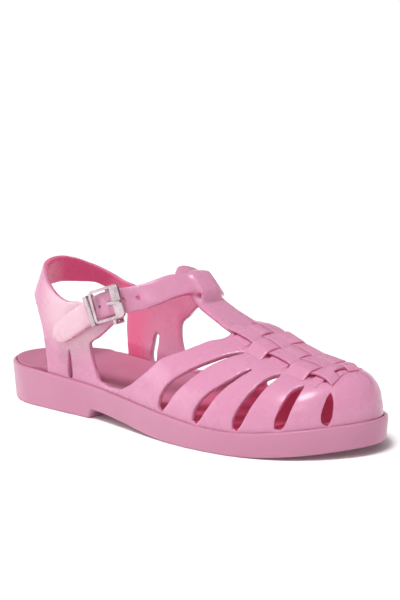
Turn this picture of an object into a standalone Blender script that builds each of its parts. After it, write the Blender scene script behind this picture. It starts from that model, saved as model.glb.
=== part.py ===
"""A jelly sandal for the right foot, in metres: toe along +X, medial side along +Y, floor at Z = 0."""

import math
from collections import namedtuple

import bmesh
import bpy
from mathutils import Matrix, Vector

# Outsole
LENGTH = 0.2580
BALL_WIDTH = 0.0885
HEEL_WIDTH = 0.0640
HEEL_SIDE = 0.0203
WAIST_SIDE = 0.0181
JOINT_SIDE = 0.0143
BALL_SIDE = 0.0118
TOE_SIDE = 0.0168
TOE_SPRING = 0.0045
ARCH_RISE = 0.0050
BREAST_SLOPE = 0.0030
RIM_WIDTH = 0.0018
RIM_DEPTH = 0.0020
EDGE_ROUND = 0.0008
SIDE_LEAN = 0.0010
GROOVE_WIDTH = 0.0030
GROOVE_DEPTH = 0.0012
GROOVE_MARGIN = 0.0090

# Footbed
FOOTBED_THICKNESS = 0.0030
FOOTBED_CUP = 0.0012

# Upper
WALL = 0.0024
LEG_PROUD = 0.0003
LEG_WAIST = 0.50
FOOT_FLARE = 0.23
CENTRE_OFFSET = 0.0045
CREST_OFFSET = 0.0100
INSTEP_HEIGHT = 0.0850
VAMP_HEIGHT = 0.0530
TOE_HEIGHT = 0.0388
TOE_CENTRE = 0.4186 * LENGTH
LOW_WALL = 0.0090
SLOT_WIDTH = 0.0065
WEAVE_RAISE = 0.0019
WEAVE_SINK = 0.45
WEAVE_STRIP = 0.0078
STRIP_LAP = 0.03
HOLE_LENGTH = 0.0024

# Straps
STRAP_WIDTH = 0.0132
STRAP_THICKNESS = 0.0025
STRAP_HOLE = 0.0026
HOLE_PITCH = 0.0080
T_STRAP_WIDTH = 0.0212
LOOP_WIDTH = 0.0128
LOOP_THICKNESS = 0.0020
SLIT_WIDTH = 0.0036
SLIT_HEIGHT = 0.0160
ANKLE_HALF = 0.0315
BAND_CENTRE = -0.2934 * LENGTH
BAND_RADIUS = 0.0300
BAND_TOP = 0.0775

# Buckle
PLATE_THICKNESS = 0.0014
BAR_THICKNESS = 0.0013
BAR_WIDTH = 0.0020
FRAME_LENGTH = 0.0212
FRAME_FRONT = 0.0120
FRAME_CORNER = 0.0022
RAIL_WIDTH = 0.0015
FRONT_BAR = 0.0062
REAR_BAR = 0.0018
KEEPER_WIDTH = 0.0036
KEEPER_THICKNESS = 0.0009
KEEPER_BEHIND = 0.0134
PRONG_WIDTH = 0.0016
PRONG_THICKNESS = 0.0010
PRONG_AHEAD = 0.0024
TIP_TO_BUCKLE = 0.2000 * LENGTH

GAP = 0.0003
SLACK = 0.0006
WELD = 0.000002
STATIONS = 40
VAMP_ROWS = 8

# What the centre bar and the strap add up to over the leg's tab
STACK = 3 * GAP + BAR_THICKNESS + STRAP_THICKNESS

OutlineRow = namedtuple("OutlineRow", "along lateral medial")
# Half-widths as shares of the local sole width, which goes from HEEL_WIDTH to BALL_WIDTH
OUTLINE = [
    OutlineRow(0.00, 0.000, 0.000),
    OutlineRow(0.02, 0.225, 0.225),
    OutlineRow(0.06, 0.365, 0.375),
    OutlineRow(0.12, 0.478, 0.470),
    OutlineRow(0.20, 0.506, 0.498),
    OutlineRow(0.30, 0.522, 0.478),
    OutlineRow(0.40, 0.514, 0.434),
    OutlineRow(0.50, 0.503, 0.413),
    OutlineRow(0.60, 0.505, 0.431),
    OutlineRow(0.70, 0.520, 0.479),
    OutlineRow(0.80, 0.497, 0.493),
    OutlineRow(0.88, 0.421, 0.449),
    OutlineRow(0.94, 0.297, 0.346),
    OutlineRow(0.98, 0.134, 0.230),
    OutlineRow(1.00, -0.060, 0.060),
]

RimRow = namedtuple("RimRow", "along height")
RIM = [
    RimRow(0.00, HEEL_SIDE),
    RimRow(0.15, HEEL_SIDE),
    RimRow(0.35, WAIST_SIDE),
    RimRow(0.60, JOINT_SIDE),
    RimRow(0.80, BALL_SIDE),
    RimRow(1.00, TOE_SIDE),
]
HEEL_BREAST = 0.345
ARCH_END = 0.640
SPRING_START = 0.800

RidgeRow = namedtuple("RidgeRow", "along height crest")
# The last's top line from the ankle to the toe cap, with how far it leans to the medial side
RIDGE = [
    RidgeRow(-0.500, 1.10 * INSTEP_HEIGHT, 0.4),
    RidgeRow(-0.050, 1.05 * INSTEP_HEIGHT, 0.4),
    RidgeRow(0.000, 0.97 * INSTEP_HEIGHT, 0.4),
    RidgeRow(0.070, 0.76 * INSTEP_HEIGHT, 0.4),
    RidgeRow(0.120, 0.685 * INSTEP_HEIGHT, 0.5),
    RidgeRow(0.170, VAMP_HEIGHT, 0.7),
    RidgeRow(0.225, 0.945 * VAMP_HEIGHT, 0.9),
    RidgeRow(0.280, 0.862 * VAMP_HEIGHT, 0.9),
    RidgeRow(0.335, 0.785 * VAMP_HEIGHT, 0.8),
    RidgeRow(0.403, TOE_HEIGHT, 1.0),
    RidgeRow(0.500, 0.97 * TOE_HEIGHT, 1.0),
]

ThroatRow = namedtuple("ThroatRow", "x height")
# Top edge of the low wall and of the first strap, as height above the rim
THROAT = [
    ThroatRow(BAND_CENTRE + GAP, 0.90 * LOW_WALL),
    ThroatRow(-0.1900 * LENGTH, 0.90 * LOW_WALL),
    ThroatRow(-0.1473 * LENGTH, 0.66 * LOW_WALL),
    ThroatRow(-0.1124 * LENGTH, 0.28 * LOW_WALL),
    ThroatRow(-0.0775 * LENGTH, 0.21 * LOW_WALL),
    ThroatRow(-0.0426 * LENGTH, 0.32 * LOW_WALL),
    ThroatRow(-0.0116 * LENGTH, 0.72 * LOW_WALL),
    ThroatRow(0.0155 * LENGTH, 1.18 * LOW_WALL),
    ThroatRow(0.0388 * LENGTH, 1.70 * LOW_WALL),
    ThroatRow(0.0581 * LENGTH, 2.42 * LOW_WALL),
    ThroatRow(0.0872 * LENGTH, 2.90 * LOW_WALL),
    ThroatRow(0.1260 * LENGTH, 3.42 * LOW_WALL),
    ThroatRow(0.1609 * LENGTH, 4.05 * LOW_WALL),
]
THROAT_END = 0.1725 * LENGTH

LegRow = namedtuple("LegRow", "turn low top")
# Legs and heel band: degrees round the heel from the back, bottom edge and top edge, both shares
# of BAND_TOP. A low of 0 stands for the rim.
LEGS = [
    LegRow(-162.0, 0.00, 0.79),
    LegRow(-147.0, 0.00, 0.78),
    LegRow(-132.0, 0.00, 0.775),
    LegRow(-117.0, 0.00, 0.79),
    LegRow(-103.0, 0.00, 0.83),
    LegRow(-92.0, 0.00, 0.88),
    LegRow(-90.0, 0.48, 0.888),
    LegRow(-87.0, 0.57, 0.90),
    LegRow(-84.0, 0.63, 0.915),
    LegRow(-78.0, 0.70, 0.94),
    LegRow(-68.0, 0.755, 0.97),
    LegRow(-45.0, 0.80, 1.00),
    LegRow(0.0, 0.825, 1.005),
    LegRow(45.0, 0.79, 0.91),
    LegRow(68.0, 0.715, 0.84),
    LegRow(78.0, 0.66, 0.808),
    LegRow(84.0, 0.60, 0.79),
    LegRow(87.0, 0.54, 0.79),
    LegRow(89.5, 0.45, 0.785),
    LegRow(92.0, 0.00, 0.78),
    LegRow(103.0, 0.00, 0.765),
    LegRow(135.0, 0.00, 0.75),
    LegRow(155.0, 0.00, 0.74),
    LegRow(171.0, 0.00, 0.74),
]

GirthRow = namedtuple("GirthRow", "height side back")
# Half-width and rearward reach of the ankle form at each height
GIRTH = [
    GirthRow(0.25 * BAND_TOP, 0.97 * ANKLE_HALF, 1.08 * BAND_RADIUS),
    GirthRow(0.50 * BAND_TOP, 1.00 * ANKLE_HALF, 1.02 * BAND_RADIUS),
    GirthRow(0.75 * BAND_TOP, 0.98 * ANKLE_HALF, 0.92 * BAND_RADIUS),
    GirthRow(0.88 * BAND_TOP, 0.90 * ANKLE_HALF, 0.76 * BAND_RADIUS),
    GirthRow(1.02 * BAND_TOP, 0.79 * ANKLE_HALF, 0.60 * BAND_RADIUS),
]

SlotRow = namedtuple("SlotRow", "along girth width")
# Lateral slots, from the rim up: share of LENGTH from the heel, share of the girth from the ridge,
# and share of SLOT_WIDTH. The medial ones are their mirror images.
SLOTS = [
    [SlotRow(0.604, 0.965, 1.10), SlotRow(0.625, 0.81, 1.28), SlotRow(0.655, 0.67, 1.08),
     SlotRow(0.692, 0.50, 0.62), SlotRow(0.738, 0.29, 0.42)],
    [SlotRow(0.709, 0.965, 0.98), SlotRow(0.728, 0.81, 1.08), SlotRow(0.748, 0.68, 0.75),
     SlotRow(0.770, 0.54, 0.40), SlotRow(0.790, 0.36, 0.32)],
    [SlotRow(0.811, 0.965, 0.90), SlotRow(0.823, 0.80, 0.98), SlotRow(0.833, 0.61, 0.88),
     SlotRow(0.839, 0.43, 0.70), SlotRow(0.845, 0.32, 0.46)],
    [SlotRow(0.896, 0.965, 0.85), SlotRow(0.903, 0.83, 0.86), SlotRow(0.906, 0.66, 0.82),
     SlotRow(0.906, 0.51, 0.68), SlotRow(0.909, 0.41, 0.38)],
    [SlotRow(0.965, 0.965, 0.86), SlotRow(0.966, 0.86, 0.86), SlotRow(0.967, 0.74, 0.72),
     SlotRow(0.967, 0.63, 0.46), SlotRow(0.966, 0.53, 0.20)],
]

WeaveRow = namedtuple("WeaveRow", "x shift")
# Rows of small holes across the weave, with how far each row's middle lies from the centre line
WEAVE = [
    WeaveRow(0.1783 * LENGTH, -0.05),
    WeaveRow(0.2345 * LENGTH, -0.25),
    WeaveRow(0.2868 * LENGTH, -0.35),
    WeaveRow(0.3411 * LENGTH, -0.36),
    WeaveRow(0.4012 * LENGTH, -0.36),
    WeaveRow(0.4438 * LENGTH, -0.36),
]

TRow = namedtuple("TRow", "x shift height width")
# Outer face of the T-strap, from the weave up to its free tip, with how far off the middle it lies
T_STRAP = [
    TRow(0.2016 * LENGTH, 1.00, 0.945 * VAMP_HEIGHT, 1.08),
    TRow(0.1705 * LENGTH, 1.00, 0.993 * VAMP_HEIGHT, 1.00),
    TRow(0.1202 * LENGTH, 0.97, 1.087 * VAMP_HEIGHT, 0.88),
    TRow(0.0795 * LENGTH, 0.93, 1.177 * VAMP_HEIGHT, 0.84),
    TRow(0.0640 * LENGTH, 0.88, 1.232 * VAMP_HEIGHT, 0.83),
    TRow(0.0523 * LENGTH, 0.82, 1.287 * VAMP_HEIGHT, 0.82),
    TRow(0.0341 * LENGTH, 0.72, 1.372 * VAMP_HEIGHT, 0.82),
    TRow(0.0159 * LENGTH, 0.60, 1.447 * VAMP_HEIGHT, 0.83),
    TRow(-0.0097 * LENGTH, 0.45, 1.515 * VAMP_HEIGHT, 0.83),
]

StrapRow = namedtuple("StrapRow", "x side lift height lean width")
# Outer face of the ankle strap, from the medial leg round the instep to its free tip. Lift is the
# share of the buckle's stack that it stands off the leg, and lean its tilt in degrees.
ANKLE_STRAP = [
    StrapRow(-0.1744 * LENGTH, 1.016, 0.00, 0.600 * INSTEP_HEIGHT, 0.0, 1.70),
    StrapRow(-0.1357 * LENGTH, 1.016, 0.00, 0.625 * INSTEP_HEIGHT, 0.0, 1.45),
    StrapRow(-0.1066 * LENGTH, 1.005, 0.00, 0.668 * INSTEP_HEIGHT, 1.0, 1.16),
    StrapRow(-0.0775 * LENGTH, 0.975, 0.00, 0.710 * INSTEP_HEIGHT, 4.0, 1.02),
    StrapRow(-0.0388 * LENGTH, 0.905, 0.00, 0.750 * INSTEP_HEIGHT, 13.0, 1.00),
    StrapRow(-0.0039 * LENGTH, 0.795, 0.00, 0.784 * INSTEP_HEIGHT, 23.0, 1.00),
    StrapRow(0.0233 * LENGTH, 0.645, 0.00, 0.811 * INSTEP_HEIGHT, 32.0, 1.00),
    StrapRow(0.0426 * LENGTH, 0.465, 0.00, 0.833 * INSTEP_HEIGHT, 38.0, 1.00),
    StrapRow(0.0519 * LENGTH, 0.270, 0.00, 0.848 * INSTEP_HEIGHT, 41.0, 1.00),
    StrapRow(0.0527 * LENGTH, 0.110, 0.00, 0.857 * INSTEP_HEIGHT, 42.0, 1.00),
    StrapRow(0.0473 * LENGTH, -0.060, 0.00, 0.866 * INSTEP_HEIGHT, 42.0, 1.00),
    StrapRow(0.0411 * LENGTH, -0.200, 0.00, 0.871 * INSTEP_HEIGHT, 41.0, 1.00),
    StrapRow(0.0302 * LENGTH, -0.440, 0.00, 0.858 * INSTEP_HEIGHT, 37.0, 1.00),
    StrapRow(0.0136 * LENGTH, -0.700, 0.00, 0.823 * INSTEP_HEIGHT, 28.0, 1.00),
    StrapRow(-0.0078 * LENGTH, -0.890, 0.12, 0.794 * INSTEP_HEIGHT, 16.0, 1.00),
    StrapRow(-0.0349 * LENGTH, -0.990, 0.60, 0.772 * INSTEP_HEIGHT, 2.0, 1.00),
    StrapRow(-0.0678 * LENGTH, -1.010, 1.00, 0.748 * INSTEP_HEIGHT, 0.0, 1.00),
    StrapRow(-0.1047 * LENGTH, -1.010, 1.04, 0.706 * INSTEP_HEIGHT, 0.0, 0.98),
    StrapRow(-0.1473 * LENGTH, -1.010, 1.00, 0.643 * INSTEP_HEIGHT, 0.0, 0.96),
    StrapRow(-0.1938 * LENGTH, -1.010, 0.92, 0.567 * INSTEP_HEIGHT, 0.0, 0.95),
    StrapRow(-0.2461 * LENGTH, -1.010, 0.84, 0.475 * INSTEP_HEIGHT, 0.0, 0.90),
]

TabRow = namedtuple("TabRow", "x height width")
# The lateral leg's tab under the buckle, from the leg to its rounded end
TAB = [
    TabRow(-0.2171 * LENGTH, 0.575 * INSTEP_HEIGHT, 1.75),
    TabRow(-0.1550 * LENGTH, 0.600 * INSTEP_HEIGHT, 1.60),
    TabRow(-0.1124 * LENGTH, 0.650 * INSTEP_HEIGHT, 1.24),
    TabRow(-0.0814 * LENGTH, 0.692 * INSTEP_HEIGHT, 0.98),
    TabRow(-0.0581 * LENGTH, 0.718 * INSTEP_HEIGHT, 0.86),
    TabRow(-0.0395 * LENGTH, 0.740 * INSTEP_HEIGHT, 0.80),
]

SlitRow = namedtuple("SlitRow", "side low top width head")
# Upright slits in the two legs: where their bottom and top ends lie along the sole, and the head's
# share of the width
SLITS = [
    SlitRow(-1, -0.2135 * LENGTH, -0.2145 * LENGTH, 1.20, 0.40),
    SlitRow(1, -0.2074 * LENGTH, -0.1984 * LENGTH, 1.50, 0.80),
]

LoopRow = namedtuple("LoopRow", "up out")
# Outer face of the loop over the ankle strap: shares of half the strap's width up its face, and of
# the strap's thickness out from it
LOOP = [
    LoopRow(-1.90, -1.40),
    LoopRow(-1.55, -0.78),
    LoopRow(-1.28, 0.30),
    LoopRow(-1.00, 0.60),
    LoopRow(0.00, 0.68),
    LoopRow(0.90, 0.50),
    LoopRow(1.14, 0.05),
    LoopRow(1.30, -0.80),
    LoopRow(1.60, -1.50),
]

COLOURS = {
    "outsole": (0.72, 0.30, 0.46),
    "footbed": (0.70, 0.28, 0.44),
    "upper": (0.78, 0.34, 0.50),
    "metal": (0.75, 0.74, 0.72),
}


def smooth(rows, column, at):
    """The column's value at a place along the rows, on a curve through them with no overshoot at the ends."""
    key = rows[0]._fields[0]
    places = [getattr(row, key) for row in rows]
    values = [getattr(row, column) for row in rows]
    if at <= places[0]:
        return values[0]
    if at >= places[-1]:
        return values[-1]
    k = max(i for i in range(len(places) - 1) if places[i] <= at)
    return hermite(places, values, k, at)


def hermite(places, values, k, at):
    """Cubic between entries k and k + 1, with the slopes of the neighbouring chords averaged."""
    step = places[k + 1] - places[k]
    share = (at - places[k]) / step
    chord = (values[k + 1] - values[k]) / step
    before = chord if k == 0 else (values[k] - values[k - 1]) / (places[k] - places[k - 1])
    last = k + 2 == len(places)
    after = chord if last else (values[k + 2] - values[k + 1]) / (places[k + 2] - places[k + 1])
    slope_in = (before + chord) / 2
    slope_out = (after + chord) / 2
    s2, s3 = share * share, share ** 3
    return (
        (2 * s3 - 3 * s2 + 1) * values[k]
        + (s3 - 2 * s2 + share) * step * slope_in
        + (3 * s2 - 2 * s3) * values[k + 1]
        + (s3 - s2) * step * slope_out
    )


def blend(low, high, share):
    return low + (high - low) * share


def ease(share):
    share = min(max(share, 0.0), 1.0)
    return share * share * (3 - 2 * share)


def station(i):
    """Share of the length at station i: close together at the round heel and toe."""
    return 0.5 - 0.5 * math.cos(math.pi * i / STATIONS)


def outline(along, side):
    """A point of the outsole's outline in plan; side is -1 for lateral and 1 for medial."""
    turn = [OutlineRow(math.acos(1 - 2 * row.along), row.lateral, row.medial) for row in OUTLINE]
    local = blend(HEEL_WIDTH, BALL_WIDTH, ease((along - 0.30) / 0.35))
    column = "lateral" if side < 0 else "medial"
    share = smooth(turn, column, math.acos(1 - 2 * along))
    return Vector(((along - 0.5) * LENGTH, side * share * local))


def inset(along, side, distance):
    """The outline moved inwards, square to itself."""
    if along <= 0.0 or along >= 1.0:
        end = outline(along, side)
        return Vector((end.x + (distance if along <= 0.0 else -distance), end.y))
    turn = math.acos(1 - 2 * along)
    step = 0.01
    before = outline(0.5 - 0.5 * math.cos(max(turn - step, 0.0)), side)
    after = outline(0.5 - 0.5 * math.cos(min(turn + step, math.pi)), side)
    run = (after - before).normalized()
    inward = Vector((run.y, -run.x)) * side
    return outline(along, side) + inward * distance


def rim_height(along):
    return smooth(RIM, "height", along)


def sole_bottom(along):
    """Height of the tread: flat heel, raised arch, flat ball and toe spring."""
    if along < HEEL_BREAST:
        return 0.0
    if along < ARCH_END:
        behind = ease((along - HEEL_BREAST) * LENGTH / BREAST_SLOPE)
        ahead = 1 - ease((along - HEEL_BREAST) / (ARCH_END - HEEL_BREAST))
        return ARCH_RISE * behind * ahead
    if along < SPRING_START:
        return 0.0
    return TOE_SPRING * ((along - SPRING_START) / (1 - SPRING_START)) ** 1.7


def ring(stations, distance, height):
    """A closed loop round the shoe: lateral side from heel to toe, then back along the medial side."""
    lateral = [Vector((*inset(a, -1, distance), height(a))) for a in stations]
    medial = [Vector((*inset(a, 1, distance), height(a))) for a in stations[1:-1]]
    return lateral + medial[::-1]


def add_cap(faces, start, count, upward):
    """Closes a ring with strips across the shoe, so that the cap keeps its arch and spring."""
    for i in range(count):
        near, near_next = start + i, start + i + 1
        far = start + (2 * count - i) % (2 * count)
        far_next = start + (2 * count - i - 1) % (2 * count)
        strip = [near, near_next, far_next, far]
        strip = list(dict.fromkeys(strip))
        faces.append(strip if upward else strip[::-1])


def solid_of_rings(name, rings, parent):
    """A closed solid from the bottom ring up to the top one."""
    size = len(rings[0])
    points = [point for loop in rings for point in loop]
    faces = []
    for level in range(len(rings) - 1):
        for i in range(size):
            j = (i + 1) % size
            low, high = level * size, (level + 1) * size
            faces.append([low + i, low + j, high + j, high + i])
    add_cap(faces, 0, size // 2, False)
    add_cap(faces, (len(rings) - 1) * size, size // 2, True)
    return mesh_object(name, points, faces, parent)


def mesh_object(name, points, faces, collection):
    mesh = bpy.data.meshes.new(name)
    mesh.from_pydata([tuple(p) for p in points], [], faces)
    shape = bmesh.new()
    shape.from_mesh(mesh)
    bmesh.ops.recalc_face_normals(shape, faces=shape.faces)
    shape.to_mesh(mesh)
    shape.free()
    made = bpy.data.objects.new(name, mesh)
    collection.objects.link(made)
    return made


def hide(cutter):
    cutter.hide_render = True
    cutter.display_type = "WIRE"


def combine(target, tool, operation, solver="EXACT"):
    """Applies one Boolean to the target's mesh."""
    step = target.modifiers.new(operation.lower(), "BOOLEAN")
    step.operation = operation
    step.object = tool
    step.solver = solver
    apply_modifiers(target)
    tidy(target)


def apply_modifiers(target):
    graph = bpy.context.evaluated_depsgraph_get()
    mesh = bpy.data.meshes.new_from_object(target.evaluated_get(graph))
    old = target.data
    target.modifiers.clear()
    target.data = mesh
    mesh.name = old.name
    bpy.data.meshes.remove(old)


def tidy(target):
    """Joins points left almost on top of each other by a Boolean, where the solid stays closed."""
    shape = bmesh.new()
    shape.from_mesh(target.data)
    bmesh.ops.remove_doubles(shape, verts=shape.verts, dist=WELD)
    bmesh.ops.dissolve_degenerate(shape, edges=shape.edges, dist=WELD)
    if all(edge.is_manifold for edge in shape.edges):
        shape.to_mesh(target.data)
    shape.free()


def keep_main_shell(target):
    """Drops the specks that Booleans leave beside the one moulded piece."""
    shape = bmesh.new()
    shape.from_mesh(target.data)
    shape.faces.ensure_lookup_table()
    shells, seen = [], set()
    for start in shape.faces:
        if start.index in seen:
            continue
        seen.add(start.index)
        shell, waiting = [], [start]
        while waiting:
            face = waiting.pop()
            shell.append(face)
            for edge in face.edges:
                for other in edge.link_faces:
                    if other.index not in seen:
                        seen.add(other.index)
                        waiting.append(other)
        shells.append(shell)
    main_shell = max(shells, key=len)
    for shell in shells:
        if shell is not main_shell:
            bmesh.ops.delete(shape, geom=shell, context="FACES")
    shape.to_mesh(target.data)
    shape.free()


def finish(made, colour, roughness, metallic):
    shader_material = bpy.data.materials.new(made.name)
    shader_material.use_nodes = True
    shader = shader_material.node_tree.nodes["Principled BSDF"]
    shader.inputs["Base Color"].default_value = (*colour, 1.0)
    shader.inputs["Roughness"].default_value = roughness
    shader.inputs["Metallic"].default_value = metallic
    made.data.materials.clear()
    made.data.materials.append(shader_material)
    made.data.shade_smooth()
    made.data.set_sharp_from_angle(angle=math.radians(32))
    return made


# Outsole and footbed


def make_outsole(parts, cutters):
    breast = [HEEL_BREAST, HEEL_BREAST + 0.6 * BREAST_SLOPE / LENGTH, HEEL_BREAST + BREAST_SLOPE / LENGTH]
    stations = sorted([station(i) for i in range(STATIONS + 1)] + breast)
    rings = [
        ring(stations, SIDE_LEAN + EDGE_ROUND, sole_bottom),
        ring(stations, SIDE_LEAN, lambda a: sole_bottom(a) + EDGE_ROUND),
        ring(stations, 0.0, lambda a: rim_height(a) - 2 * EDGE_ROUND),
        ring(stations, 0.3 * EDGE_ROUND, lambda a: rim_height(a) - 0.5 * EDGE_ROUND),
        ring(stations, EDGE_ROUND, rim_height),
        ring(stations, RIM_WIDTH, rim_height),
        ring(stations, RIM_WIDTH, lambda a: rim_height(a) - RIM_DEPTH),
    ]
    outsole = solid_of_rings("outsole", rings, parts)
    combine(outsole, make_grooves(cutters), "DIFFERENCE")
    return finish(outsole, COLOURS["outsole"], 0.35, 0.0)


def make_grooves(cutters):
    """Shallow grooves across the tread, in the heel and under the ball."""
    points, faces = [], []
    places = [0.08 + 0.065 * i for i in range(4)] + [0.66 + 0.045 * i for i in range(5)]
    for place in places:
        ends = [inset(place, side, GROOVE_MARGIN) for side in (-1, 1)]
        first = len(points)
        for end in ends:
            for x, z in ((-1, -1), (1, -1), (1, 1), (-1, 1)):
                depth = GROOVE_DEPTH if z > 0 else -GROOVE_DEPTH
                points.append((end.x + x * GROOVE_WIDTH / 2, end.y, sole_bottom(place) + depth))
        faces += box_faces(first, 2, 4)
    grooves = mesh_object("tread_grooves", points, faces, cutters)
    hide(grooves)
    return grooves


def box_faces(first, sections, corners):
    """Faces of a closed sweep: one polygon of corners per section, with both ends capped."""
    faces = []
    for s in range(sections - 1):
        for c in range(corners):
            d = (c + 1) % corners
            low, high = first + s * corners, first + (s + 1) * corners
            faces.append([low + c, low + d, high + d, high + c])
    faces.append([first + c for c in range(corners)][::-1])
    faces.append([first + (sections - 1) * corners + c for c in range(corners)])
    return faces


def footbed_inset(along):
    """The footbed reaches the rim at the bare heel, and stops inside the wall elsewhere."""
    wide = RIM_WIDTH + GAP
    narrow = RIM_WIDTH + WALL + 3 * GAP
    return blend(wide, narrow, ease((along - 0.155) / 0.02))


def make_footbed(parts):
    stations = [station(i) for i in range(STATIONS + 1)]

    def loop(extra, height):
        lateral = [Vector((*inset(a, -1, footbed_inset(a) + extra), height(a))) for a in stations]
        medial = [Vector((*inset(a, 1, footbed_inset(a) + extra), height(a))) for a in stations[1:-1]]
        return lateral + medial[::-1]

    def base(a):
        return rim_height(a) - RIM_DEPTH + GAP

    rings = [
        loop(0.0, base),
        loop(0.0, lambda a: base(a) + 0.7 * FOOTBED_THICKNESS),
        loop(EDGE_ROUND, lambda a: base(a) + FOOTBED_THICKNESS),
        loop(0.0080, lambda a: base(a) + FOOTBED_THICKNESS - FOOTBED_CUP),
    ]
    return finish(solid_of_rings("footbed", rings, parts), COLOURS["footbed"], 0.45, 0.0)


# The last's skin


def ridge(x):
    """The last's top point at x."""
    along = x / LENGTH
    return Vector((x, CREST_OFFSET * smooth(RIDGE, "crest", along), smooth(RIDGE, "height", along)))


def feather(along, side):
    """Where the wall's outer face meets the channel of the outsole."""
    plan = inset(along, side, RIM_WIDTH + GAP)
    return Vector((plan.x, plan.y, rim_height(along) - RIM_DEPTH + GAP))


def squareness(x):
    return blend(2.0, 2.7, ease(x / TOE_CENTRE - 0.3))


def skin(along, girth):
    """A point of the vamp's outer face; girth goes from -1, the lateral rim, over 0, the ridge, to 1."""
    foot = feather(along, -1 if girth < 0 else 1)
    top = ridge(min(foot.x, TOE_CENTRE))
    power = 2 / squareness(top.x)
    angle = (1 - abs(girth)) * math.pi / 2
    out = max(math.cos(angle), 0.0) ** power if abs(girth) > 1e-9 else 0.0
    up = math.sin(angle) ** power
    return Vector((blend(top.x, foot.x, out), blend(top.y, foot.y, out), blend(foot.z, top.z, up)))


def girth_at_height(along, side, height):
    """The girth at which the skin is this high above the rim."""
    foot = feather(along, side)
    top = ridge(min(foot.x, TOE_CENTRE))
    share = (height + RIM_DEPTH) / (top.z - foot.z)
    angle = math.asin(min(share ** (squareness(top.x) / 2), 1.0))
    return side * (1 - angle / (math.pi / 2))


def girth_at_side(along, y):
    """The girth at which the skin is this far to the side."""
    top = ridge(min((along - 0.5) * LENGTH, TOE_CENTRE))
    side = -1 if y < top.y else 1
    foot = feather(along, side)
    share = (y - top.y) / (foot.y - top.y)
    angle = math.acos(min(max(share, 0.0), 1.0) ** (squareness(top.x) / 2))
    return side * (1 - angle / (math.pi / 2))


def along_of(x):
    return x / LENGTH + 0.5


def skin_normal(along, girth):
    step = 0.004
    a0, a1 = skin(along - step, girth), skin(min(along + step, 0.9999), girth)
    across = skin(along, girth + step * 2) - skin(along, girth - step * 2)
    return (a1 - a0).cross(across).normalized()


def make_vamp(parts):
    """Toe cap, straps and low walls as one open skin, thickened inwards."""
    first = along_of(THROAT[0].x)
    marks = [along_of(x) for x in (THROAT_END - 0.001, THROAT_END)]
    stations = sorted([first] + marks + [station(i) for i in range(STATIONS + 1) if station(i) > first + 0.005])
    points, index = [], {}

    def vertex(key, place):
        if key not in index:
            index[key] = len(points)
            points.append(place)
        return index[key]

    def corner(i, side, row):
        along = stations[i]
        x = (along - 0.5) * LENGTH
        if x < THROAT_END:
            top = abs(girth_at_height(along, side, smooth(THROAT, "height", x)))
        else:
            top = 0.0
        girth = blend(1.0, top, row / VAMP_ROWS)
        key = (i, side, row)
        if row == VAMP_ROWS and top == 0.0:
            key = "pole" if x >= TOE_CENTRE else (i, "ridge")
        if i == len(stations) - 1:
            key = (i, row) if row < VAMP_ROWS else "pole"
        return vertex(key, skin(along, side * girth))

    faces = []
    for side in (-1, 1):
        for i in range(len(stations) - 1):
            for row in range(VAMP_ROWS):
                quad = [corner(i, side, row), corner(i + 1, side, row)]
                quad += [corner(i + 1, side, row + 1), corner(i, side, row + 1)]
                quad = list(dict.fromkeys(quad))
                faces.append(quad if side < 0 else quad[::-1])
    vamp = mesh_object("upper", points, faces, parts)
    thicken(vamp, WALL)
    return vamp


def thicken(shell, thickness):
    wall = shell.modifiers.new("wall", "SOLIDIFY")
    wall.thickness = thickness
    wall.offset = -1.0
    wall.use_even_offset = True
    apply_modifiers(shell)


def sweep(points, normals, widths, low, high, name, collection, chamfer=0.0):
    """A closed strap along the points, from low to high along the normals, with its outer edges eased."""
    corners, made = [], []
    for i, point in enumerate(points):
        before, after = points[max(i - 1, 0)], points[min(i + 1, len(points) - 1)]
        run = (after - before).normalized()
        across = run.cross(normals[i]).normalized()
        half = widths[i] / 2
        ease_in = min(chamfer, 0.45 * half)
        for side, level in (
            (-half, low),
            (half, low),
            (half, high - ease_in),
            (half - ease_in, high),
            (-half + ease_in, high),
            (-half, high - ease_in),
        ) if chamfer else ((-half, low), (half, low), (half, high), (-half, high)):
            made.append(point + across * side + normals[i] * level)
        corners.append(6 if chamfer else 4)
    faces = box_faces(0, len(points), corners[0])
    return mesh_object(name, made, faces, collection)


def make_slots(cutters):
    made = []
    for side in (-1, 1):
        for number, rows in enumerate(SLOTS):
            along = [row.along for row in rows]
            steps = 9
            points, normals, widths = [], [], []
            for s in range(steps):
                place = s / (steps - 1) * (len(rows) - 1)
                k = min(int(place), len(rows) - 2)
                index = list(range(len(rows)))
                a = hermite(index, along, k, place)
                g = hermite(index, [row.girth for row in rows], k, place)
                w = hermite(index, [row.width for row in rows], k, place)
                points.append(skin(a, side * g))
                normals.append(outward(a, side * g))
                round_end = 0.55 if s in (0, steps - 1) else 1.0
                widths.append(SLOT_WIDTH * w * round_end)
            made.append(sweep(points, normals, widths, -3 * WALL, 2 * WALL, f"slot_{side}_{number}", cutters))
    return made


def outward(along, girth):
    """The skin's normal, pointing away from the foot."""
    normal = skin_normal(along, girth)
    centre = Vector((min((along - 0.5) * LENGTH, TOE_CENTRE), CENTRE_OFFSET, 0.0))
    return normal if normal.dot(skin(along, girth) - centre) > 0 else -normal


def weave_point(x, column):
    """A place on the weave; column goes from 0, its lateral edge, to 3, its medial one."""
    middle = CENTRE_OFFSET + smooth(WEAVE, "shift", x) * WEAVE_STRIP
    return along_of(x), middle + (column - 1.5) * WEAVE_STRIP


def draped(x, column, lift=0.0):
    """Place and normal on the skin under a place on the weave."""
    along, y = weave_point(x, column)
    girth = girth_at_side(along, y)
    normal = outward(along, girth)
    return skin(along, girth) + normal * lift, normal


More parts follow.
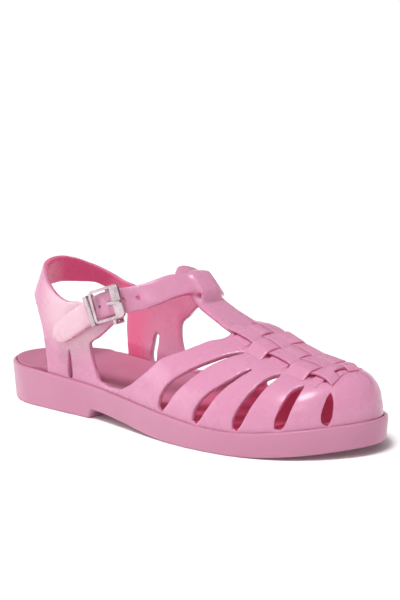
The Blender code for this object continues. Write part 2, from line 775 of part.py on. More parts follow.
def make_weave_holes(cutters):
    made = []
    for row in WEAVE[1:-1]:
        for column in range(4):
            places = [draped(row.x, column + step * 0.13) for step in (-1, 0, 1)]
            widths = [HOLE_LENGTH * 0.6, HOLE_LENGTH, HOLE_LENGTH * 0.6]
            name = f"weave_hole_{len(made)}"
            points, normals = zip(*places)
            made.append(sweep(points, normals, widths, -3 * WALL, 2 * WALL, name, cutters))
    return made


def make_weave_strips(parts):
    """Raised strips: the long ones pass over every other cross strap, the cross ones over the rest."""
    made = []
    for strap in range(len(WEAVE) - 1):
        low, high = WEAVE[strap].x, WEAVE[strap + 1].x
        for column in range(3):
            lengthwise = (strap + column) % 2 == 0
            places, widths = [], []
            for step in range(5):
                share = blend(-STRIP_LAP, 1 + STRIP_LAP, step / 4)
                lift = WEAVE_RAISE * blend(-WEAVE_SINK, 1.0, math.sin(math.pi * step / 4))
                if lengthwise:
                    places.append(draped(blend(low, high, share), column + 0.5, lift))
                    widths.append(0.86 * WEAVE_STRIP)
                else:
                    places.append(draped((low + high) / 2, column + share, lift))
                    widths.append(0.66 * (high - low))
            points, normals = zip(*places)
            name = f"strip_{strap}_{column}"
            made.append(sweep(points, normals, widths, -0.5 * WALL, 0.0, name, parts, 0.0006))
    return made


# Legs and heel band


def leg_x(turn, height):
    """Where a leg's point lies along the sole: each leg widens forward from its waist to its foot."""
    reach = math.radians(abs(turn) - 90) * BAND_RADIUS
    waist = LEG_WAIST * BAND_TOP
    share = max(waist - height, 0.0) / (waist - WAIST_SIDE)
    return BAND_CENTRE + reach * (1 + FOOT_FLARE * share ** 1.5)


def ankle(turn, height):
    """Outer face of the legs and the heel band; turn is in degrees round the heel, 0 at the back."""
    side = -1 if turn < 0 else 1
    half = smooth(GIRTH, "side", height)
    back = smooth(GIRTH, "back", height)
    if abs(turn) <= 90:
        angle = math.radians(turn)
        return Vector((BAND_CENTRE - back * math.cos(angle), half * math.sin(angle), height))
    x = leg_x(turn, height)
    foot = feather(along_of(x), side)
    y = blend(abs(foot.y) - 0.1 * GAP, half + LEG_PROUD, ease((height - foot.z) / (LEG_WAIST * BAND_TOP)))
    return Vector((x, side * y, height))


def make_legs(parts):
    turns = [row.turn for row in LEGS]
    fine = []
    for a, b in zip(turns, turns[1:]):
        pieces = max(1, math.ceil((b - a) / 12.0))
        fine += [blend(a, b, i / pieces) for i in range(pieces)]
    fine.append(turns[-1])
    rows = 8
    points, faces = [], []
    for turn in fine:
        k = min(max(i for i in range(len(turns)) if turns[i] <= turn), len(turns) - 2)
        share = (turn - turns[k]) / (turns[k + 1] - turns[k])
        x = leg_x(max(abs(turn), 90.0), WAIST_SIDE)
        floor = feather(along_of(x), -1).z
        low = blend(LEGS[k].low * BAND_TOP or floor, LEGS[k + 1].low * BAND_TOP or floor, share)
        top = smooth(LEGS, "top", turn) * BAND_TOP
        for row in range(rows + 1):
            points.append(ankle(turn, blend(low, top, row / rows)))
    for i in range(len(fine) - 1):
        for row in range(rows):
            a, b = i * (rows + 1) + row, (i + 1) * (rows + 1) + row
            faces.append([a, b, b + 1, a + 1])
    legs = mesh_object("legs", points, faces, parts)
    if not faces_out(legs):
        legs.data.flip_normals()
    thicken(legs, WALL)
    return legs


def faces_out(shell):
    """Whether the faces of an open skin round the Z axis point away from its middle."""
    centre = sum((v.co for v in shell.data.vertices), Vector()) / len(shell.data.vertices)
    return sum(f.normal.dot((f.center - centre).normalized()) * f.area for f in shell.data.polygons) > 0


def outer_side(row):
    """How far to the side the ankle strap's outer face lies at a row of its table."""
    side = -1 if row.side < 0 else 1
    return row.side * ANKLE_HALF + side * row.lift * STACK


def curve(rows, columns, place):
    """The columns' values at a place counted in rows from the start of the table."""
    k = min(int(place), len(rows) - 2)
    index = list(range(len(rows)))
    return [hermite(index, [read(row) for row in rows], k, place) for read in columns]


def strap_course(count):
    """Points, normals and widths along the ankle strap's outer face."""
    points, leans, widths = [], [], []
    columns = [lambda r: r.x, outer_side, lambda r: r.height, lambda r: r.lean, lambda r: r.width]
    for step in range(count):
        place = step / (count - 1) * (len(ANKLE_STRAP) - 1)
        x, y, z, lean, width = curve(ANKLE_STRAP, columns, place)
        points.append(Vector((x, y, z)))
        leans.append(math.radians(lean))
        widths.append(width * STRAP_WIDTH)
    normals = []
    for i, lean in enumerate(leans):
        run = (points[min(i + 1, count - 1)] - points[max(i - 1, 0)]).normalized()
        out = Vector((run.y, -run.x, 0.0)).normalized() * -1
        tilted = out * math.cos(lean) + Vector((0.0, 0.0, math.sin(lean)))
        normals.append((tilted - run * tilted.dot(run)).normalized())
    return points, normals, widths


def strap_frame(distance):
    """Matrix at this distance from the strap's tip: X towards the toe, Y out of the strap, Z across it."""
    points, normals, _ = strap_course(240)
    points, normals = points[::-1], normals[::-1]
    gone = 0.0
    for i in range(1, len(points)):
        step = (points[i] - points[i - 1]).length
        if gone + step >= distance:
            share = (distance - gone) / step
            place = points[i - 1].lerp(points[i], share)
            forward = (points[i] - points[i - 1]).normalized()
            out = normals[i - 1].lerp(normals[i], share)
            out = (out - forward * out.dot(forward)).normalized()
            across = forward.cross(out)
            if across.z < 0:
                across = -across
            frame = Matrix((forward, out, across)).transposed().to_4x4()
            frame.translation = place
            return frame
        gone += step
    return None


def rounded(width, points, radius, both=False):
    """Widths along a strap whose last end, or both, is round."""
    lengths = [0.0]
    for a, b in zip(points, points[1:]):
        lengths.append(lengths[-1] + (b - a).length)
    total = lengths[-1]
    widths = []
    for place in lengths:
        left = total - place
        if both:
            left = min(left, place)
        share = min(left / radius, 1.0)
        widths.append(width * max(math.sqrt(1 - (1 - share) ** 2), 0.25))
    return widths


def make_ankle_strap(parts):
    points, normals, widths = strap_course(60)
    taper = rounded(1.0, points, 0.75 * STRAP_WIDTH)
    widths = [w * t for w, t in zip(widths, taper)]
    return sweep(points, normals, widths, -STRAP_THICKNESS, 0.0, "ankle_strap", parts, 0.0006)


def make_tab(parts):
    count = 12
    points, widths = [], []
    for step in range(count):
        place = step / (count - 1) * (len(TAB) - 1)
        x, z, width = curve(TAB, [lambda r: r.x, lambda r: r.height, lambda r: r.width], place)
        points.append(Vector((x, -ANKLE_HALF - 0.8 * LEG_PROUD, z)))
        widths.append(width * STRAP_WIDTH)
    taper = rounded(1.0, points, 0.35 * STRAP_WIDTH)
    widths = [w * t for w, t in zip(widths, taper)]
    normals = [Vector((0.0, -1.0, 0.0))] * count
    return sweep(points, normals, widths, -WALL, 0.0, "tab", parts, 0.0005)


def make_t_strap(parts):
    columns = [lambda r: r.x, lambda r: r.shift, lambda r: r.height, lambda r: r.width]
    count = 18
    points, widths = [], []
    for step in range(count):
        place = step / (count - 1) * (len(T_STRAP) - 1)
        x, shift, z, width = curve(T_STRAP, columns, place)
        points.append(Vector((x, shift * CENTRE_OFFSET, z)))
        widths.append(width * T_STRAP_WIDTH)
    normals = []
    for i in range(count):
        run = points[min(i + 1, count - 1)] - points[max(i - 1, 0)]
        normals.append(Vector((run.z, 0.0, -run.x)).normalized())
    taper = rounded(1.0, points, 0.40 * T_STRAP_WIDTH)
    widths = [w * t for w, t in zip(widths, taper)]
    return sweep(points, normals, widths, -WALL, 0.0, "t_strap", parts, 0.0006)


def make_loop(parts):
    """The bridge from the T-strap over the ankle strap to the T-strap's tip."""
    front = max(ANKLE_STRAP, key=lambda row: row.x)
    lean = math.radians(front.lean)
    out = Vector((math.cos(lean), 0.0, math.sin(lean)))
    up = Vector((-math.sin(lean), 0.0, math.cos(lean)))
    centre = Vector((front.x, smooth(T_STRAP[::-1], "shift", front.x) * CENTRE_OFFSET, front.height))
    count = 17
    points = []
    for step in range(count):
        place = step / (count - 1) * (len(LOOP) - 1)
        rise, reach = curve(LOOP, [lambda r: r.up, lambda r: r.out], place)
        points.append(centre + up * (rise * STRAP_WIDTH / 2) + out * (reach * STRAP_THICKNESS))
    normals = []
    for i in range(count):
        run = points[min(i + 1, count - 1)] - points[max(i - 1, 0)]
        normals.append(Vector((run.z, 0.0, -run.x)).normalized())
    widths = [LOOP_WIDTH] * count
    return sweep(points, normals, widths, -LOOP_THICKNESS, 0.0, "loop", parts, 0.0006)


def make_slits(cutters):
    made = []
    for row in SLITS:
        low = rim_height(along_of(row.low)) + GAP
        points, normals = [], []
        for share in (0.0, 0.12, 0.9, 1.0):
            points.append(Vector((blend(row.low, row.top, share), row.side * ANKLE_HALF, low + SLIT_HEIGHT * share)))
            normals.append(Vector((0.0, row.side, 0.0)))
        widths = [row.width * SLIT_WIDTH * share for share in (0.70, 1.00, row.head, 0.6 * row.head)]
        made.append(sweep(points, normals, widths, -4 * WALL, 2 * WALL, f"slit_{len(made)}", cutters))
    return made


def hole_distances():
    """Distances of the strap's holes from its tip: one holds the prong."""
    return [TIP_TO_BUCKLE + PRONG_AHEAD + k * HOLE_PITCH for k in (-2, -1, 0, 1, 2)]


def make_strap_holes(cutters):
    made = []
    for distance in hole_distances():
        frame = strap_frame(distance) @ Matrix.Rotation(math.pi / 2, 4, "X")
        drill = bmesh.new()
        bmesh.ops.create_cone(drill, cap_ends=True, segments=12, radius1=STRAP_HOLE / 2,
                              radius2=STRAP_HOLE / 2, depth=2.4 * STRAP_THICKNESS,
                              matrix=frame @ Matrix.Translation((0.0, 0.0, STRAP_THICKNESS / 2)))
        bmesh.ops.recalc_face_normals(drill, faces=drill.faces)
        mesh = bpy.data.meshes.new(f"strap_hole_{len(made)}")
        drill.to_mesh(mesh)
        drill.free()
        cutter = bpy.data.objects.new(mesh.name, mesh)
        cutters.objects.link(cutter)
        made.append(cutter)
    return made


# Buckle


def block(name, frame, low, high, collection, corner=0.0):
    """A box between two corners in a strap frame, with its edges through the strap rounded if asked."""
    size = [h - l for l, h in zip(low, high)]
    middle = [(h + l) / 2 for l, h in zip(low, high)]
    box = bmesh.new()
    bmesh.ops.create_cube(box, size=1.0, matrix=Matrix.Diagonal((*size, 1.0)))
    if corner:
        posts = [e for e in box.edges if abs((e.verts[0].co - e.verts[1].co).normalized().y) > 0.9]
        bmesh.ops.bevel(box, geom=posts, offset=corner, segments=3, profile=0.5, affect="EDGES")
    bmesh.ops.transform(box, matrix=frame @ Matrix.Translation(middle), verts=box.verts)
    bmesh.ops.recalc_face_normals(box, faces=box.faces)
    mesh = bpy.data.meshes.new(name)
    box.to_mesh(mesh)
    box.free()
    made = bpy.data.objects.new(name, mesh)
    collection.objects.link(made)
    return made


def make_buckle_frame(parts, cutters):
    """A plate over the strap with a wide front bar, and a centre bar that clips round the leg's tab."""
    frame = strap_frame(TIP_TO_BUCKLE)
    half = STRAP_WIDTH / 2 + SLACK
    rear = FRAME_FRONT - FRAME_LENGTH
    top = PLATE_THICKNESS + GAP
    plate = block("buckle_frame", frame, (rear, GAP, -half - RAIL_WIDTH),
                  (FRAME_FRONT, top, half + RAIL_WIDTH), parts, FRAME_CORNER)
    window = block("buckle_window", frame, (rear + REAR_BAR, -top, -half),
                   (FRAME_FRONT - FRONT_BAR, 2 * top, half), cutters)
    hide(window)
    combine(plate, window, "DIFFERENCE")
    below = -STRAP_THICKNESS - GAP - BAR_THICKNESS
    inside = below - GAP - WALL - 2 * SLACK - BAR_THICKNESS
    reach = clip_reach(frame) + BAR_THICKNESS
    lap = 0.4 * PLATE_THICKNESS
    bar = BAR_WIDTH / 2
    rails = [(half, half + RAIL_WIDTH, below, GAP + lap), (-half - RAIL_WIDTH, -half, below, GAP + lap)]
    for low, high, bottom, level in rails:
        combine_block(plate, frame, (-bar, bottom, low), (bar, level, high), parts)
    combine_block(plate, frame, (-bar, below, -reach), (bar, below + BAR_THICKNESS, half + lap), parts)
    combine_block(plate, frame, (-bar, inside, -reach), (bar, below + lap, -reach + BAR_THICKNESS), parts)
    combine_block(plate, frame, (-bar, inside, -reach + lap), (bar, inside + BAR_THICKNESS, half), parts)
    combine_block(plate, frame, (-bar, inside + lap, half - lap),
                  (bar, below + lap, half + BAR_THICKNESS - lap), parts)
    return finish(plate, COLOURS["metal"], 0.25, 1.0)


def combine_block(target, frame, low, high, parts):
    piece = block("bar", frame, low, high, parts)
    combine(target, piece, "UNION", "MANIFOLD")
    bpy.data.objects.remove(piece)


def clip_reach(frame):
    """How far down across the strap the clip has to go to clear the tab's lower edge."""
    reach = 0.0
    while True:
        foot = frame @ Vector((0.0, 0.0, -reach))
        edge = smooth(TAB, "height", foot.x) - smooth(TAB, "width", foot.x) * STRAP_WIDTH / 2
        if foot.z < edge - 2 * SLACK:
            return reach
        reach += GAP


def make_prong(parts):
    """The prong comes up through a strap hole and lies on the front bar."""
    frame = strap_frame(TIP_TO_BUCKLE + PRONG_AHEAD)
    ahead = FRAME_FRONT - PRONG_AHEAD
    over = 2 * GAP + PLATE_THICKNESS + PRONG_THICKNESS
    course = [(0.0, -STRAP_THICKNESS), (0.0, -0.4 * STRAP_THICKNESS), (0.0, 0.5 * over),
              (0.10 * ahead, 0.85 * over), (0.30 * ahead, over), (0.65 * ahead, over), (ahead, over)]
    places = [frame @ Vector((x, y, 0.0)) for x, y in course]
    across = frame.to_3x3() @ Vector((0.0, 0.0, 1.0))
    points, normals = [], []
    for i, place in enumerate(places):
        run = (places[min(i + 1, len(places) - 1)] - places[max(i - 1, 0)]).normalized()
        normal = across.cross(run) if i else across.cross((places[1] - places[0]).normalized())
        points.append(place)
        normals.append(normal.normalized())
    points = [p + n * (PRONG_THICKNESS / 2) if i < 3 else p for i, (p, n) in enumerate(zip(points, normals))]
    prong = sweep(points, normals, [PRONG_WIDTH] * len(points), -PRONG_THICKNESS, 0.0, "buckle_prong", parts)
    return finish(prong, COLOURS["metal"], 0.25, 1.0)


def make_keeper(parts, cutters):
    """A flat metal loop round the strap, behind the buckle."""
    frame = strap_frame(TIP_TO_BUCKLE - KEEPER_BEHIND)
    half = STRAP_WIDTH / 2 + SLACK
    side = half + KEEPER_THICKNESS
    bar = KEEPER_WIDTH / 2
    low = -STRAP_THICKNESS - GAP
    keeper = block("keeper_loop", frame, (-bar, low - KEEPER_THICKNESS, -side),
                   (bar, GAP + KEEPER_THICKNESS, side), parts)
    window = block("keeper_window", frame, (-2 * bar, low, -half), (2 * bar, GAP, half), cutters)
    hide(window)
    combine(keeper, window, "DIFFERENCE")
    return finish(keeper, COLOURS["metal"], 0.25, 1.0)


def centre(parts):
    """Moves the whole sandal so that the middle of its bounding box stands on the Z axis."""
    points = [vertex.co for made in parts.objects for vertex in made.data.vertices]
    shift = [-(min(p[k] for p in points) + max(p[k] for p in points)) / 2 for k in (0, 1)]
    for made in parts.objects:
        made.data.transform(Matrix.Translation((*shift, 0.0)))


def main():
    for old in list(bpy.data.objects):
        bpy.data.objects.remove(old)
    parts = bpy.data.collections.new("jelly_sandal")
    cutters = bpy.data.collections.new("cutters")
    for made in (parts, cutters):
        bpy.context.scene.collection.children.link(made)
    make_outsole(parts, cutters)
    make_footbed(parts)
    upper = make_vamp(parts)
    for cutter in make_slots(cutters):
        hide(cutter)
        combine(upper, cutter, "DIFFERENCE")
    straps = [make_legs(parts), make_tab(parts), make_t_strap(parts), make_loop(parts), make_ankle_strap(parts)]
    for piece in straps:
        combine(upper, piece, "UNION")
        bpy.data.objects.remove(piece)
    for strip in make_weave_strips(parts):
        combine(upper, strip, "UNION", "MANIFOLD")
        bpy.data.objects.remove(strip)
    for cutter in make_weave_holes(cutters) + make_slits(cutters) + make_strap_holes(cutters):
        hide(cutter)
        combine(upper, cutter, "DIFFERENCE", "MANIFOLD")
    keep_main_shell(upper)
    finish(upper, COLOURS["upper"], 0.3, 0.0)
    make_buckle_frame(parts, cutters)
    make_prong(parts)
    make_keeper(parts, cutters)
    centre(parts)


main()
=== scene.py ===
"""Looks of the pink jelly sandal: moulded PVC, woven vamp, polished buckle, on a pale studio floor."""

import math

import bmesh
import bpy
import numpy as np
from mathutils import Matrix, Vector
from mathutils.bvhtree import BVHTree
from mathutils.kdtree import KDTree


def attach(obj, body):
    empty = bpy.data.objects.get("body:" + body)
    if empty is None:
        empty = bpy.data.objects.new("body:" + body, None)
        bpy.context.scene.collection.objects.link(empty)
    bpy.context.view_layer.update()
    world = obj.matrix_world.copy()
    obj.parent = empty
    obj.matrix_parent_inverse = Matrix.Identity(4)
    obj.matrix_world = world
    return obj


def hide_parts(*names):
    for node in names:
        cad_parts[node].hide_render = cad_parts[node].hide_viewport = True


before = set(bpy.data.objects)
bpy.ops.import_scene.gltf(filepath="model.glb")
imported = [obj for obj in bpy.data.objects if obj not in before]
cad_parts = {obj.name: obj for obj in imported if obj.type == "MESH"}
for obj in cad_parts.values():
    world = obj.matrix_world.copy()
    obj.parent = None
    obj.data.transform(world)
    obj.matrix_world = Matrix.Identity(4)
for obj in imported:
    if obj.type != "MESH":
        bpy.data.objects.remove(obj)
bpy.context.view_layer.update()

# View of the photograph
CAMERA_PLACE = Vector((0.8235, -0.74554, 0.2481))
CAMERA_TURN = 47.32
CAMERA_HEIGHT = 9.48
CAMERA_ROLL = -1.53
CAMERA_LENS = 130.92
CAMERA_SENSOR = 36.0
FARTHEST = 60.0

# Lamps: name, kind, place, power, and a sun's angle in degrees or a panel's width and height
LAMPS = (
    ("overhead", "SUN", (0.10, -0.50, 1.36), 2.45, 22.0),
    ("side_panel", "AREA", (-0.95, -0.62, 0.42), 2.3, (0.7, 0.45)),
    ("front_panel", "AREA", (0.55, -0.95, 0.75), 1.6, (0.5, 0.35)),
)

# Surround: how high a direction points, from 0 at the horizon, and how bright it is there
SURROUND = ((0.0, 1.0), (0.15, 1.0), (0.22, 0.10), (0.55, 0.37))
FLOOR_REACH = 22.0
FLOOR_WHITE = (0.96, 0.96, 0.96, 1.0)
FLOOR_GLOW = 0.04

# Mesh sizes
UPPER_GRAIN = 0.00069
FOOTBED_GRAIN = 0.0010
MOST_TRIANGLES = 190000
WELD = 0.000004

# Rounded edges: widths, steps and the least angle; then the angles from which edges are shaded sharp
SOLE_EASE = 0.0005
PLATE_EASE = 0.00030
EASE_STEPS = 3
EASE_FROM = 35.0
SOLE_SHARP = 32.0
PLATE_SHARP = 50.0
BAND_SHARP = 60.0

# Corners that the smoothing keeps, in degrees; its first rounds are laxer, so that odd facets go,
# and the weave is smoothed much less than the rest
KEPT_CORNER = 40.0
FIRST_CORNER = 65.0
FIRST_ROUNDS = 2
WEAVE_HOLD = 0.85
CALM_ROUNDS = 8
CALM_ALIKE = 0.14

# Colours of the moulded PVC, and of the nickel, whose pink tint is a painted reflection of the pink straps
# around it
UPPER_PINK, UPPER_DEEP = (0.635, 0.268, 0.412), (0.600, 0.240, 0.380)
# The inside colour is painted shade and through-light on the faces that face the inside
# The paler upper colour is a painted sheen, where the heel straps catch the light
UPPER_INSIDE_SHADE, UPPER_PAINTED_SHEEN = (0.66, 0.115, 0.260), (0.76, 0.49, 0.57)
SOLE_PINK, SOLE_DEEP = (0.545, 0.222, 0.338), (0.512, 0.200, 0.312)
# Painted shade on the sole's underside, deeper than its own pink, so that the floor under the sole stays
# dark
UNDERSIDE_SHADE = (0.42, 0.11, 0.20)
FOOTBED_PINK, FOOTBED_DEEP = (0.49, 0.178, 0.275), (0.455, 0.157, 0.250)
FOOTBED_SHADE = (0.52, 0.055, 0.160)
NICKEL_DARK, NICKEL_LIGHT = (0.50, 0.40, 0.43), (0.68, 0.55, 0.59)

# Painted glow: emission on the inside faces and the shaded footbed, standing for light that the translucent
# wall lets through
WALL_LIGHT = (1.0, 0.10, 0.24, 1.0)
WALL_GLOW = 0.10

# Gloss and haze of the PVC, and how far light goes into it
PVC_GLOSS = 0.34
FOOTBED_GLOSS = 0.06
COAT_SHARE = 0.5
HAZE_DEPTH = 0.00003
SOFT_DEPTH = 0.00020
GLOW_REACH = 0.0035
RIB_DEPTH = 0.0006
SCRATCH_DEPTH = 0.00002
TREAD_FACING = -0.8

# Places on the sandal that the smoothing, the painted inside shade and the painted sheen follow
WEAVE_ZONE = (np.array((0.041, -0.014, 0.031)), np.array((0.121, 0.022, 0.075)))
BAND_MIDDLE = -0.0757
TOE_MIDDLE = 0.1050
FOOT_MIDDLE = 0.0030
# Where the painted sheen lies: around the heel straps, on both sides
SHEEN_PLACE = np.array((-0.052, 0.034, 0.056))
SHEEN_REACH = np.array((0.034, 0.030, 0.030))
LOWER_MIDDLE = 0.012

# Where the painted shade and glow of the inside start and end: along X, across in Y, or up in Z
VAMP_ALONG = (0.0, 0.03)
LEG_ACROSS = (0.0, 0.02)
LEG_BACK, LEG_FRONT = (-0.07, -0.05), (0.0, 0.02)
LEG_UP = (0.022, 0.050)
LEG_PALER = 0.50
FOOTBED_ALONG = (-0.005, 0.045)
FRONT_SHADE = 0.85

# The skin under the weave: rows from the ankle to the toe, each from the lateral side over
WEAVE_SKIN = np.array([
    [(46.1, -6.4, 50.7), (46.1, 1.4, 52.0), (46.3, 9.3, 52.3), (46.3, 17.1, 51.0)],
    [(60.4, -7.9, 47.4), (60.4, -0.1, 48.8), (60.4, 7.6, 49.4), (60.7, 15.5, 49.0)],
    [(73.7, -8.7, 43.5), (73.7, -0.9, 44.7), (73.7, 6.9, 45.2), (74.0, 14.7, 45.0)],
    [(87.4, -8.8, 40.0), (87.4, -1.0, 41.0), (87.4, 6.8, 41.4), (87.6, 14.6, 41.2)],
    [(102.4, -8.8, 37.3), (102.4, -1.0, 38.5), (102.4, 6.8, 38.9), (102.5, 14.5, 38.9)],
    [(110.9, -8.8, 35.6), (109.8, -1.0, 37.7), (108.7, 6.8, 38.4), (108.9, 14.6, 38.3)],
]) / 1000
LONG_BAND_WIDTH = 0.0072
CROSS_BAND_SHARE = 0.86
BAND_THICKNESS = 0.0015
BAND_OVER = 0.0015
BAND_UNDER = -0.0003
BAND_SUNK = -0.0012
BAND_SHARPNESS = 0.5
BAND_STRIP = (-0.5, -0.41, 0.41, 0.5)
OVER_FADE = (0.35, 1.2)
UNDER_FADE = (0.1, 0.7)
ROUNDING = 2
RIBBON_WELD = 0.00001
STRAPS, COLUMNS = 5, 3
LONG_PAST_ANKLE, LONG_PAST_TOE, CROSS_PAST = 0.35, 0.45, 0.7

# The bed pressed for the weave, and how the bands are let down on the upper past it
WEAVE_BED = -0.0005
BED_RIM, BED_RIM_WIDTH = 0.004, 0.12
BED_PAST_ROWS, BED_PAST_COLUMNS = 0.3, 0.4
BED_ROWS, BED_COLUMNS = 113, 77
SEAT_FROM, SEAT_REACH, SEAT_BLEND = 0.005, 0.012, 0.3

LONG_STEPS, CROSS_STEPS = ((72, 56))
COARSER = 1.0


# Studio


def add_object(name, data):
    made = bpy.data.objects.new(name, data)
    bpy.context.scene.collection.objects.link(made)
    return made


def set_camera():
    """The photograph's view: level turn about Z, height over the floor and a slight roll."""
    turn, height, roll = (math.radians(a) for a in (CAMERA_TURN, CAMERA_HEIGHT, CAMERA_ROLL))
    back = Vector((math.sin(turn) * math.cos(height), -math.cos(turn) * math.cos(height), math.sin(height)))
    level = Vector((math.cos(turn), math.sin(turn), 0.0))
    up = back.cross(level)
    right = level * math.cos(roll) + up * math.sin(roll)
    over = up * math.cos(roll) - level * math.sin(roll)
    lens = bpy.data.cameras.new("camera")
    lens.sensor_width = CAMERA_SENSOR
    lens.lens = CAMERA_LENS
    lens.clip_end = FARTHEST
    camera = add_object("camera", lens)
    facing = Matrix((right, over, back)).transposed().to_4x4()
    camera.matrix_world = Matrix.Translation(CAMERA_PLACE) @ facing
    bpy.context.scene.camera = camera


def add_lamp(name, kind, place, power, size):
    lamp = bpy.data.lights.new(name, kind)
    lamp.energy = power
    if kind == "SUN":
        lamp.angle = math.radians(size)
    else:
        lamp.shape = "RECTANGLE"
        lamp.size, lamp.size_y = size
    held = add_object(name, lamp)
    held.location = place
    held.rotation_euler = (-Vector(place)).to_track_quat("-Z", "Y").to_euler()


def set_studio():
    """Soft light from above and the lateral side, a white horizon and a plain pale floor."""
    scene = bpy.context.scene
    scene.view_settings.view_transform = "Standard"
    world = bpy.data.worlds.new("surround")
    scene.world = world
    world.use_nodes = True
    nodes, links = world.node_tree.nodes, world.node_tree.links
    backing = nodes["Background"]
    where = nodes.new("ShaderNodeTexCoord")
    split = nodes.new("ShaderNodeSeparateXYZ")
    ramp = nodes.new("ShaderNodeValToRGB")
    stops = ramp.color_ramp.elements
    while len(stops) < len(SURROUND):
        stops.new(0.5)
    for stop, (place, level) in zip(stops, SURROUND):
        stop.position = place
        stop.color = (level, level, level, 1.0)
    links.new(where.outputs["Generated"], split.inputs[0])
    links.new(split.outputs["Z"], ramp.inputs["Fac"])
    links.new(ramp.outputs["Color"], backing.inputs["Color"])
    backing.inputs["Strength"].default_value = 1.0
    for lamp in LAMPS:
        add_lamp(*lamp)

    floor = bmesh.new()
    bmesh.ops.create_grid(floor, x_segments=1, y_segments=1, size=FLOOR_REACH)
    sheet = bpy.data.meshes.new("floor")
    floor.to_mesh(sheet)
    floor.free()
    ground = add_object("floor", sheet)
    sheet.materials.append(floor_paint())


# Materials


def new_material(name):
    made = bpy.data.materials.new(name)
    made.use_nodes = True
    tree = made.node_tree
    shader = tree.nodes["Principled BSDF"]
    where = tree.nodes.new("ShaderNodeTexCoord")
    return made, tree, shader, where.outputs["Object"]


def add_noise(tree, where, scale, detail, roughness):
    noise = tree.nodes.new("ShaderNodeTexNoise")
    noise.inputs["Scale"].default_value = scale
    noise.inputs["Detail"].default_value = detail
    noise.inputs["Roughness"].default_value = roughness
    tree.links.new(where, noise.inputs["Vector"])
    return noise.outputs["Fac"]


def add_ramp(tree, value, stops):
    ramp = tree.nodes.new("ShaderNodeValToRGB")
    elements = ramp.color_ramp.elements
    while len(elements) < len(stops):
        elements.new(0.5)
    for element, (place, colour) in zip(elements, stops):
        element.position = place
        element.color = (*colour, 1.0)
    tree.links.new(value, ramp.inputs["Fac"])
    return ramp.outputs["Color"]


def add_range(tree, value, low, high, start=0.3, end=0.7):
    spread = tree.nodes.new("ShaderNodeMapRange")
    for socket, number in (("From Min", start), ("From Max", end), ("To Min", low), ("To Max", high)):
        spread.inputs[socket].default_value = number
    tree.links.new(value, spread.inputs["Value"])
    return spread.outputs["Result"]


def add_bump(tree, height, strength, distance, under=None):
    bump = tree.nodes.new("ShaderNodeBump")
    bump.inputs["Strength"].default_value = strength
    bump.inputs["Distance"].default_value = distance
    tree.links.new(height, bump.inputs["Height"])
    if under is not None:
        tree.links.new(under, bump.inputs["Normal"])
    return bump.outputs["Normal"]


def floor_paint():
    made, _, shader, _ = new_material("floor_paint")
    shader.inputs["Base Color"].default_value = FLOOR_WHITE
    shader.inputs["Roughness"].default_value = 0.85
    shader.inputs["Specular IOR Level"].default_value = 0.15
    shader.inputs["Emission Color"].default_value = (1.0, 1.0, 1.0, 1.0)
    shader.inputs["Emission Strength"].default_value = FLOOR_GLOW
    return made


def add_mix(tree, share, low, high):
    """Mixes from the low colour to the high one; either may be a socket."""
    mix = tree.nodes.new("ShaderNodeMix")
    mix.data_type = "RGBA"
    tree.links.new(share, mix.inputs["Factor"])
    for socket, colour in ((mix.inputs[6], low), (mix.inputs[7], high)):
        if isinstance(colour, tuple):
            socket.default_value = (*colour, 1.0)
        else:
            tree.links.new(colour, socket)
    return mix.outputs[2]


def add_share(tree, name):
    """The value of one of the piece's own attributes."""
    stored = tree.nodes.new("ShaderNodeAttribute")
    stored.attribute_name = name
    return stored.outputs["Fac"]


def tread_ribs(tree, where):
    """Fine diagonal ribs, only on the underside that the piece's stored mask marks."""
    ribs = tree.nodes.new("ShaderNodeTexWave")
    ribs.bands_direction = "DIAGONAL"
    ribs.inputs["Scale"].default_value = 85.0
    tree.links.new(where, ribs.inputs["Vector"])
    under = tree.nodes.new("ShaderNodeMath")
    under.operation = "MULTIPLY"
    tree.links.new(ribs.outputs["Fac"], under.inputs[0])
    tree.links.new(add_share(tree, "tread_and_shade"), under.inputs[1])
    return under.outputs[0]


